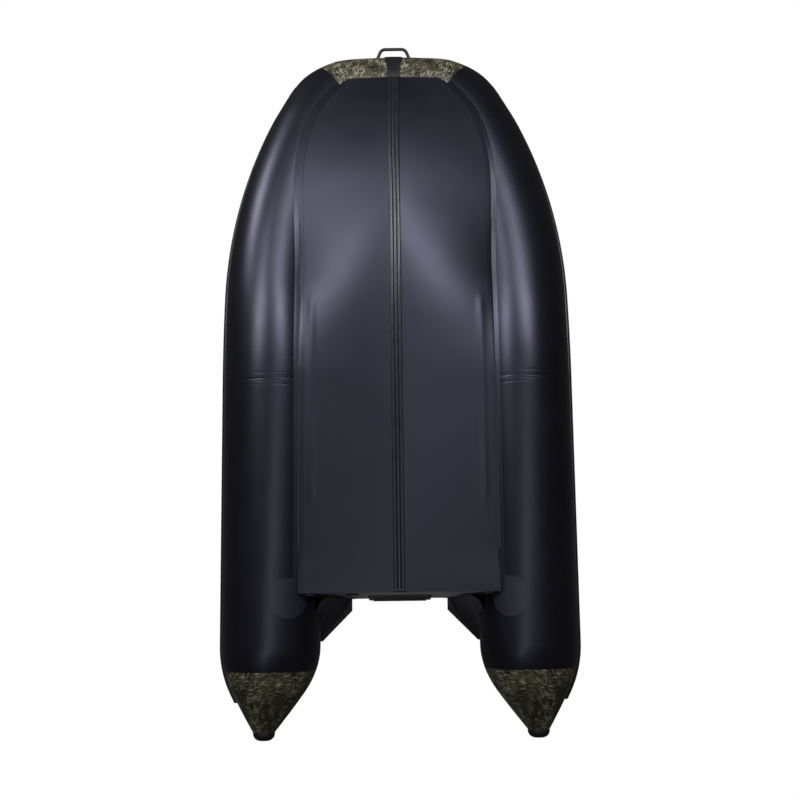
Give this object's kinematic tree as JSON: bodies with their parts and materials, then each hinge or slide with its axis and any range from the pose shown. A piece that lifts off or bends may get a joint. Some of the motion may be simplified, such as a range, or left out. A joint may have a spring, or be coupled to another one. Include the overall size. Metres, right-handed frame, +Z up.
{
  "type": "inflatable boat",
  "caption": "Inflatable boat with side tubes that rise and close in a bow, tail cones, a board transom for a motor, a plywood floor over an inflated keel, sliding benches and oarlocks.",
  "frame": {"origin": "middle of the boat's box at the level it rests on", "axes": "-Y towards the bow, +X to port, +Z up"},
  "size_m": [1.7006, 3.5318, 0.7581],
  "materials": {
    "pvc_black": "glossy coated fabric",
    "pvc_camo": "printed coated fabric, dry-grass camouflage",
    "strake_rubber": "satin extruded rubber",
    "moulded_plastic": "moulded, fine grain",
    "transom_board": "painted plywood",
    "pad_plastic": "ribbed plate",
    "plywood": "film-faced plywood with a mesh print",
    "bench_board": "painted plywood",
    "aluminium": "mill finish"
  },
  "bodies": {
    "hull": {"aft_tube_lower_port": "pvc_black", "aft_tube_lower_starboard": "pvc_black", "aft_tube_upper_port": "pvc_camo", "aft_tube_upper_starboard": "pvc_camo", "fore_tube_lower_port": "pvc_black", "fore_tube_lower_starboard": "pvc_black", "fore_tube_upper_port": "pvc_camo", "fore_tube_upper_starboard": "pvc_camo", "bow_tube": "pvc_camo", "tail_cone_port": "pvc_camo", "tail_cone_starboard": "pvc_camo", "tail_caps": "moulded_plastic", "strake_port": "strake_rubber", "strake_starboard": "strake_rubber", "strake_bow": "strake_rubber", "hull_bottom": "pvc_black", "keel_guard": "strake_rubber", "bow_guard": "strake_rubber", "bow_handle": "moulded_plastic", "transom": "transom_board", "transom_channels": "strake_rubber", "motor_pad_outer": "pad_plastic", "motor_pad_inner": "pad_plastic", "knee_plates": "moulded_plastic", "corner_coves": "pvc_black", "drain_valve": "moulded_plastic", "floorboard_bow": "plywood", "floorboard_fore": "plywood", "floorboard_middle": "plywood", "floorboard_aft": "plywood", "floor_joints": "aluminium", "stringers": "aluminium", "seat_rails": "moulded_plastic", "oarlock_bases": "moulded_plastic", "air_valves": "moulded_plastic", "carry_handles": "moulded_plastic"},
    "bench_fore": {"bench_fore": "bench_board", "bench_fore_shoes": "moulded_plastic"},
    "bench_aft": {"bench_aft": "bench_board", "bench_aft_shoes": "moulded_plastic"},
    "oarlock_port": {"oarlock_yoke_port": "moulded_plastic"},
    "oarlock_starboard": {"oarlock_yoke_starboard": "moulded_plastic"}
  },
  "joints": [
    {"name": "bench_fore_slide", "type": "slide", "parent": "hull", "child": "bench_fore", "axis": [0, 1, 0], "range_m": [-0.09, 0.11]},
    {"name": "bench_aft_slide", "type": "slide", "parent": "hull", "child": "bench_aft", "axis": [0, 1, 0], "range_m": [-0.12, 0.145]},
    {"name": "oarlock_port_swivel", "type": "hinge", "parent": "hull", "child": "oarlock_port", "pos_m": [0.606, 0.53018, 0.48], "axis": [0, 0, 1], "range_deg": [-80, 80]},
    {"name": "oarlock_starboard_swivel", "type": "hinge", "parent": "hull", "child": "oarlock_starboard", "pos_m": [-0.606, 0.53018, 0.48], "axis": [0, 0, 1], "range_deg": [-80, 80]}
  ]
}
